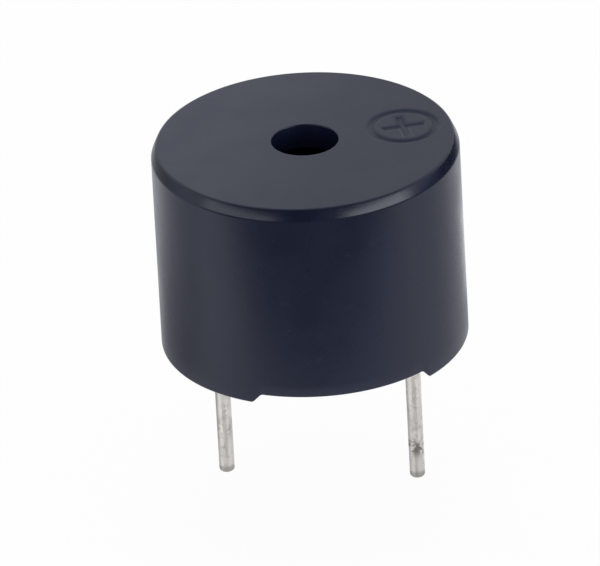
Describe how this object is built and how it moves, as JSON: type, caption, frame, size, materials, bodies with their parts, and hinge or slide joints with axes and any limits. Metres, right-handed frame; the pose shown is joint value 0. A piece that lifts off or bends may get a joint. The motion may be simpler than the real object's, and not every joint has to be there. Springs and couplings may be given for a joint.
{
  "type": "piezo buzzer",
  "caption": "Round black sounder can with a central sound hole, a chamfered top edge, a plus mark and tinned pins of unequal length for through-hole soldering.",
  "frame": {"origin": "on the can's axis, in the plane that the feet stand on, midway between the pins", "axes": "+Z out of the sound hole, +X towards the positive pin"},
  "size_m": [0.012, 0.012, 0.0155],
  "materials": {
    "housing_black": "satin moulded",
    "silicone_white": "cured bead",
    "brass": "rolled",
    "piezo_ceramic": "sintered and lapped",
    "silver_coat": "fired silver",
    "solder": "bright solder",
    "lead_red": "insulated wire",
    "lead_blue": "insulated wire",
    "lead_black": "insulated wire",
    "board": "glass-fibre laminate",
    "copper": "etched copper",
    "chip_black": "moulded or fired black",
    "tin": "tinned",
    "pin_tin": "dull tinned wire",
    "potting_black": "poured compound"
  },
  "bodies": {
    "root": {"housing": "housing_black", "diaphragm_adhesive": "silicone_white", "brass_plate": "brass", "piezo_ceramic": "piezo_ceramic", "drive_electrode": "silver_coat", "feedback_electrode": "silver_coat", "element_solder": "solder", "drive_lead": "lead_red", "feedback_lead": "lead_blue", "plate_lead": "lead_black", "board_solder": "solder", "circuit_board": "board", "copper_tracks": "copper", "transistor_body": "chip_black", "transistor_leads": "tin", "load_resistor": "chip_black", "bias_resistor": "chip_black", "feedback_resistor": "chip_black", "resistor_caps": "tin", "pin_positive": "pin_tin", "pin_negative": "pin_tin", "pin_solder": "solder", "potting": "potting_black"}
  },
  "joints": []
}
